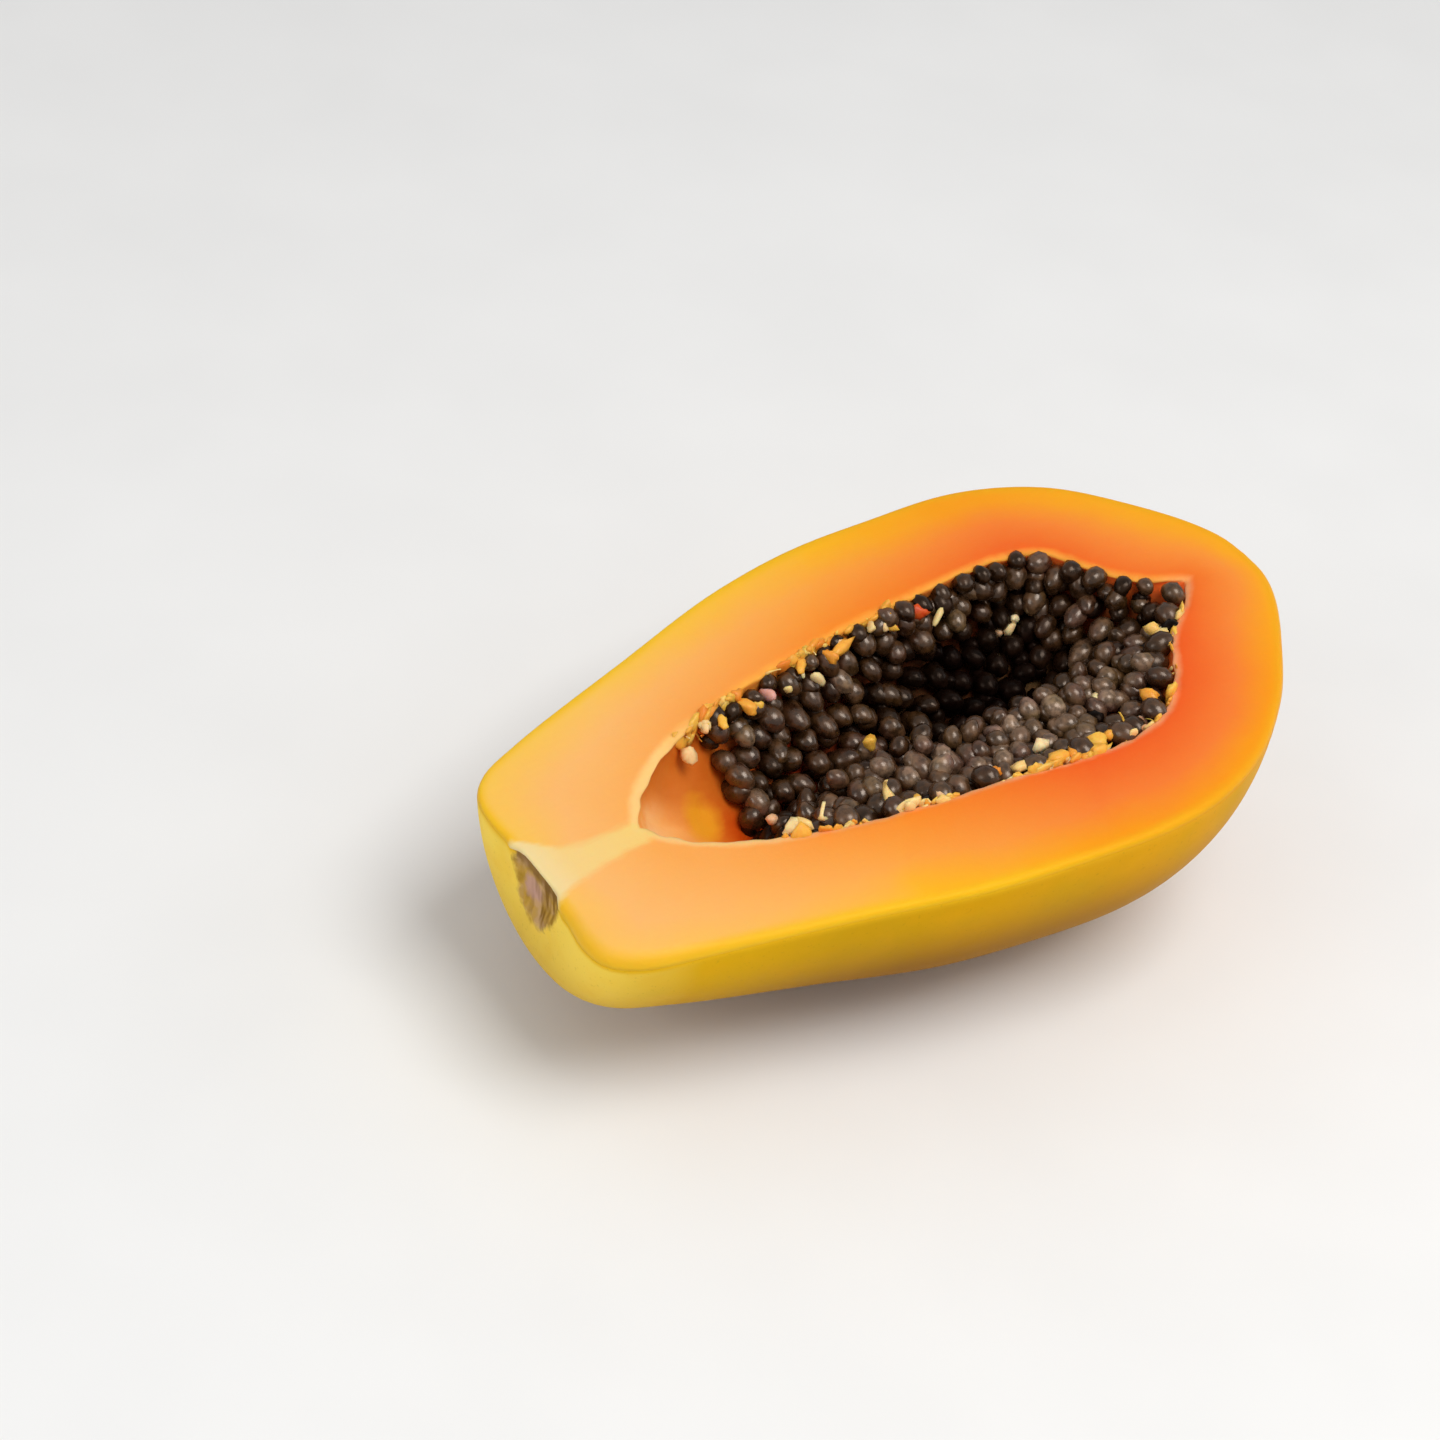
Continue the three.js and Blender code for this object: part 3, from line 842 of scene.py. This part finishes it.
    # The painted shade under the far rim darkens the strip there too.
    strip = add("Mix", {0: far_rim_shade, 6: strip, 7: FAR_RIM_SHADE_ORANGE}, **COLOUR_MIX)
    under_rim = add("Math", (fine, 6, depth), operation="MULTIPLY_ADD")
    under_rim = add("MapRange", (under_rim, 11, 5), **SMOOTH)
    for amount, layer in (
            (shade, "#1a0603"), (far_rim_shade, FAR_RIM_SHADE_ORANGE), (patch, "#eca01c"), (under_rim, strip)):
        wall = add("Mix", {0: amount, 6: wall, 7: layer}, **COLOUR_MIX)
    colour = middle
    for amount, layer in (
            (add("MapRange", (ripe, 112, 168)), belly), (add("MapRange", (ripe, 115, 42)), stem),
            (band, yellow_by_the_cut(add, along)), (lining, lining_colour), (core, core_colour),
            (add("MapRange", (depth, 0.1, 0.8), **SMOOTH), wall)):
        colour = add("Mix", {0: amount, 6: colour, 7: layer}, **COLOUR_MIX)
    height = add("Math", (grain, 0.6, fibre), operation="MULTIPLY_ADD")
    bump = add("Bump", {"Strength": 0.25, "Distance": 0.4 * MM, "Height": height})
    shader = add("BsdfPrincipled", {
        "Base Color": colour, "Roughness": 0.45, "IOR": 1.36, "Specular IOR Level": 0.4,
        "Specular Tint": "#ffd890", "Normal": bump, "Subsurface Weight": 0.4,
        "Subsurface Radius": (1.0, 0.5, 0.18), "Subsurface Scale": 3 * MM})
    add("OutputMaterial", {"Surface": shader}, None)
    return material


def waxy_papaya_skin():
    """Ripe papaya skin: thin, smooth and waxy, golden with a faint olive cast, paler at the stem end, with
    fine pores and, where the stem broke off, a corky scar with dark strands."""
    material, add, place = new_material("waxy_papaya_skin")
    along, across, depth = (add("Attribute", attribute_name=name, output="Fac") for name in PLACE_NAMES[:3])
    cloud, blotch, speck, ragged, crust, waves = (
        add("TexNoise", {"Vector": place, "Scale": 1 / (size * MM), "Detail": detail})
        for size, detail in ((32, 3), (10, 3), (0.9, 1), (2.5, 3), (5, 3), (12, 2)))
    length_share = add("Math", (along, LENGTH), operation="DIVIDE")
    colour = add("ValToRGB", (length_share,), stops=[
        (0.0, "#ffda58"), (0.1, "#e4b008"), (0.25, "#d8a206"), (0.65, "#e6a406"), (0.9, "#ea9a12")])
    olive = add("MapRange", (cloud, 0.45, 0.75, 0, 0.35), **SMOOTH)
    warm = add("MapRange", (blotch, 0.5, 0.8, 0, 0.3))
    # Low on the belly the skin is painted darker, most so before the middle: painted shade.
    low = add("MapRange", (depth, 4, 33, 0, 0.95), **SMOOTH)
    low_shade_share = add("ValToRGB", (length_share,), stops=[(0.05, 0.5), (0.35, 1.0), (0.55, 0.85), (0.75, 0.5)])
    low = add("Math", (low, low_shade_share), operation="MULTIPLY")
    lip = add("MapRange", (depth, 4.0, 0.5, 0, 0.9), **SMOOTH)
    pores = add("MapRange", (speck, 0.66, 0.74, 0, 0.15))
    # The scar, as an oval with a ragged edge.
    aside = add("Math", (across, SCAR_CENTRE[0]), operation="SUBTRACT")
    aside = add("Math", (aside, SCAR_REACH[0]), operation="DIVIDE")
    down = add("Math", (depth, SCAR_REACH[1] * 1.15), operation="DIVIDE")
    away = add("VectorMath", (add("CombineXYZ", (aside, down)),), 1, operation="LENGTH")
    away = add("Math", (ragged, 0.35, away), operation="MULTIPLY_ADD")
    scar = add("MapRange", (away, 1.22, 1.08))
    scar = add("Math", (scar, add("MapRange", (along, 8, 6))), operation="MULTIPLY")
    cork = add("ValToRGB", (crust,), stops=[
        (0.34, "#b08a32"), (0.46, "#c79c46"), (0.54, "#c29a58"), (0.64, "#c8a070")])
    mauve = add("VectorMath", (add("CombineXYZ", (across, depth)), MAUVE_PATCH), 1, operation="DISTANCE")
    mauve = add("Math", (ragged, 4, mauve), operation="MULTIPLY_ADD")
    mauve = add("MapRange", (mauve, 6.5, 4.5, 0, 0.85))
    strands = add("Mapping", {"Vector": place, "Scale": (1, 1, 0.22)})
    strands = add("TexNoise", {"Vector": strands, "Scale": 1 / (2.4 * MM), "Detail": 1})
    strands = add("MapRange", (strands, 0.46, 0.6))
    strands = add("Math", (strands, add("MapRange", (across, 4, -2, 0.15, 0.85))), operation="MULTIPLY")
    # Along the cut the scar is darker brown.
    scar_band_by_cut = add("Math", (ragged, 4, depth), operation="MULTIPLY_ADD")
    scar_band_by_cut = add("MapRange", (scar_band_by_cut, 6.5, 3.5, 0, 0.75), **SMOOTH)
    for amount, layer in ((mauve, "#c49a8c"), (strands, "#7a5412"), (scar_band_by_cut, "#7c5a34")):
        cork = add("Mix", {0: amount, 6: cork, 7: layer}, **COLOUR_MIX)
    for amount, layer in (
            (olive, "#c0a010"), (warm, "#f0ac14"), (low, "#926002"), (lip, yellow_by_the_cut(add, along)),
            (pores, "#8a6a10"), (scar, cork)):
        colour = add("Mix", {0: amount, 6: colour, 7: layer}, **COLOUR_MIX)
    height = add("Math", (ragged, scar), operation="MULTIPLY")
    height = add("Math", (height, 1.6, waves), operation="MULTIPLY_ADD")
    bump = add("Bump", {"Strength": 0.3, "Distance": 1.0 * MM, "Height": height})
    rough = add("MapRange", (scar, 0, 1, 0.48, 0.8))
    shader = add("BsdfPrincipled", {
        "Base Color": colour, "Roughness": rough, "IOR": 1.4, "Specular IOR Level": 0.05,
        "Specular Tint": "#ffc83a", "Normal": bump, "Subsurface Weight": 0.12,
        "Subsurface Radius": (1.0, 0.6, 0.1), "Subsurface Scale": 1.5 * MM})
    add("OutputMaterial", {"Surface": shader}, None)
    return material


def coated_papaya_seed():
    """A ripe papaya seed in its jelly coat: brown-black, with broad soft grey-brown reflections where the
    translucent coat catches the light."""
    material, add, place = new_material("coated_papaya_seed")
    tone = add("Attribute", attribute_name="tone", output="Fac")
    # The tone carries painted shade and painted light as well as chance: low tones are near black, high tones
    # grey-brown.
    colour = add("ValToRGB", (tone,), stops=[
        (0.0, "#0a0403"), (0.15, "#241409"), (0.4, "#402814"), (0.6, "#523a26"), (0.8, "#644c38"),
        (1.0, "#7e6652")])
    cast, mottle = (
        add("TexNoise", {"Vector": place, "Scale": 1 / (size * MM), "Detail": detail})
        for size, detail in ((9, 1), (2, 3)))
    mauve = add("MapRange", (cast, 0.52, 0.64, 0, 0.8))
    olive = add("MapRange", (cast, 0.47, 0.36, 0, 0.8))
    spots = add("MapRange", (mottle, 0.35, 0.7, 0.55, 1.9))
    for amount, layer in (
            (mauve, "#d8c0d0"), (olive, "#dcdcb8"), (1.0, add("CombineXYZ", (spots, spots, spots)))):
        colour = add("Mix", {0: amount, 6: colour, 7: layer}, **COLOUR_MIX, blend_type="MULTIPLY")
    # Painted shade: low tones take a dark tint that dulls their reflections.
    sheen = add("ValToRGB", (tone,), stops=[
        (0.0, "#2a1c16"), (0.15, "#b8a494"), (0.4, "#ffeee0"), (1.0, "#fff0e4")])
    rough = add("MapRange", (mottle, 0.3, 0.7, 0.2, 0.36))
    bump = add("Bump", {"Strength": 0.5, "Distance": 0.25 * MM, "Height": mottle})
    shader = add("BsdfPrincipled", {
        "Base Color": colour, "Roughness": rough, "IOR": 1.5, "Specular IOR Level": 0.85,
        "Specular Tint": sheen, "Normal": bump})
    add("OutputMaterial", {"Surface": shader}, None)
    return material


def placenta_tissue(name, stops):
    """Moist tissue that carried the seeds: soft and half see-through, cream to orange."""
    material, add, place = new_material(name)
    tone = add("Attribute", attribute_name="tone", output="Fac")
    colour = add("ValToRGB", (tone,), stops=stops)
    veins = add("TexNoise", {"Vector": place, "Scale": 1 / (1.5 * MM), "Detail": 2})
    blush = add("MapRange", (veins, 0.4, 0.7, 0, 0.3))
    colour = add("Mix", {0: blush, 6: colour, 7: "#e07c20"}, **COLOUR_MIX)
    bump = add("Bump", {"Strength": 0.3, "Distance": 0.2 * MM, "Height": veins})
    shader = add("BsdfPrincipled", {
        "Base Color": colour, "Roughness": 0.38, "IOR": 1.37, "Normal": bump, "Subsurface Weight": 0.35,
        "Subsurface Radius": (1.0, 0.6, 0.3), "Subsurface Scale": 1.0 * MM})
    add("OutputMaterial", {"Surface": shader}, None)
    return material


def matte_white_table():
    """A matte white table top: even, with barely visible clouds in its paint."""
    material, add, place = new_material("matte_white_table")
    cloud = add("TexNoise", {"Vector": place, "Scale": 1 / (60 * MM), "Detail": 2})
    colour = add("ValToRGB", (cloud,), stops=[(0.3, "#ececec"), (0.7, "#efefef")])
    shader = add("BsdfPrincipled", {"Base Color": colour, "Roughness": 0.7, "Specular IOR Level": 0.2})
    add("OutputMaterial", {"Surface": shader}, None)
    return material


# ---------------------------------------------------------------- the pieces

tissue = placenta_tissue("pale_placenta", [
    (0.0, "#f6dc9c"), (0.3, "#f3c04c"), (0.55, "#f0a63a"), (0.85, "#e88428"), (1.0, "#d84a1c")])
unripe = placenta_tissue("unripe_papaya_seed", [
    (0.0, "#f8e6b6"), (0.2, "#e9cf86"), (0.35, "#e6b49a"), (0.6, "#f2cf92"), (0.8, "#dba49a"),
    (1.0, "#ecb66c")])
for piece, slot, material in (
        (make_flesh(), "flesh", ripe_papaya_flesh()),
        (make_skin(), "skin", waxy_papaya_skin()),
        (make_seeds(), "seed", coated_papaya_seed()),
        (make_unripe_seeds(), "placenta", unripe),
        (make_crumbs(), "placenta", tissue),
        (make_threads(), "placenta", tissue)):
    piece.data.materials.append(material)
    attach(piece, "root")
    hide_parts("papaya_half")

# ---------------------------------------------------------------- floor, light and camera

bm = bmesh.new()
bmesh.ops.create_grid(bm, x_segments=1, y_segments=1, size=3)
floor = to_object(bm, "floor")
floor.data.materials.append(matte_white_table())


def add_softbox(name, place, aim, size, watts, colour):
    light = bpy.data.lights.new(name, "AREA")
    light.shape = "RECTANGLE"
    light.size, light.size_y = size
    light.energy = watts
    light.color = linear(colour)[:3]
    lamp = bpy.data.objects.new(name, light)
    bpy.context.scene.collection.objects.link(lamp)
    lamp.location = place
    lamp.rotation_euler = (Vector(aim) - Vector(place)).to_track_quat("-Z", "Y").to_euler()


add_softbox("key_softbox", (0.1, -0.5, 1.25), (0, 0, 0.05), (0.7, 0.7), 10.4, "#fffefb")
add_softbox("right_softbox", (1.2, -0.5, 0.6), (0, 0, 0.03), (0.7, 0.7), 1.5, "#ffffff")
add_softbox("left_softbox", (-1.2, 0.1, 0.6), (0, 0, 0.03), (0.5, 0.5), 2.5, "#ffffff")

world = bpy.data.worlds.new("studio")
bpy.context.scene.world = world
world.use_nodes = True
world.node_tree.nodes["Background"].inputs["Color"].default_value = linear("#ffffff")
world.node_tree.nodes["Background"].inputs["Strength"].default_value = 0.5

CAMERA_PLACE = Vector((-0.49980, -0.48237, 0.63201))
CAMERA_AZIMUTH = math.radians(-42.22)
CAMERA_ELEVATION = math.radians(39.96)
CAMERA_ROLL = math.radians(10.14)
CAMERA_LENS = 91.3
back = Vector((
    math.sin(CAMERA_AZIMUTH) * math.cos(CAMERA_ELEVATION),
    -math.cos(CAMERA_AZIMUTH) * math.cos(CAMERA_ELEVATION),
    math.sin(CAMERA_ELEVATION)))
camera = bpy.data.objects.new("camera", bpy.data.cameras.new("camera"))
bpy.context.scene.collection.objects.link(camera)
camera.data.lens = CAMERA_LENS
camera.data.clip_start = 0.01
camera.location = CAMERA_PLACE
camera.rotation_euler = (Quaternion(back, CAMERA_ROLL) @ back.to_track_quat("Z", "Y")).to_euler()
bpy.context.scene.camera = camera
bpy.context.scene.view_settings.view_transform = "Standard"
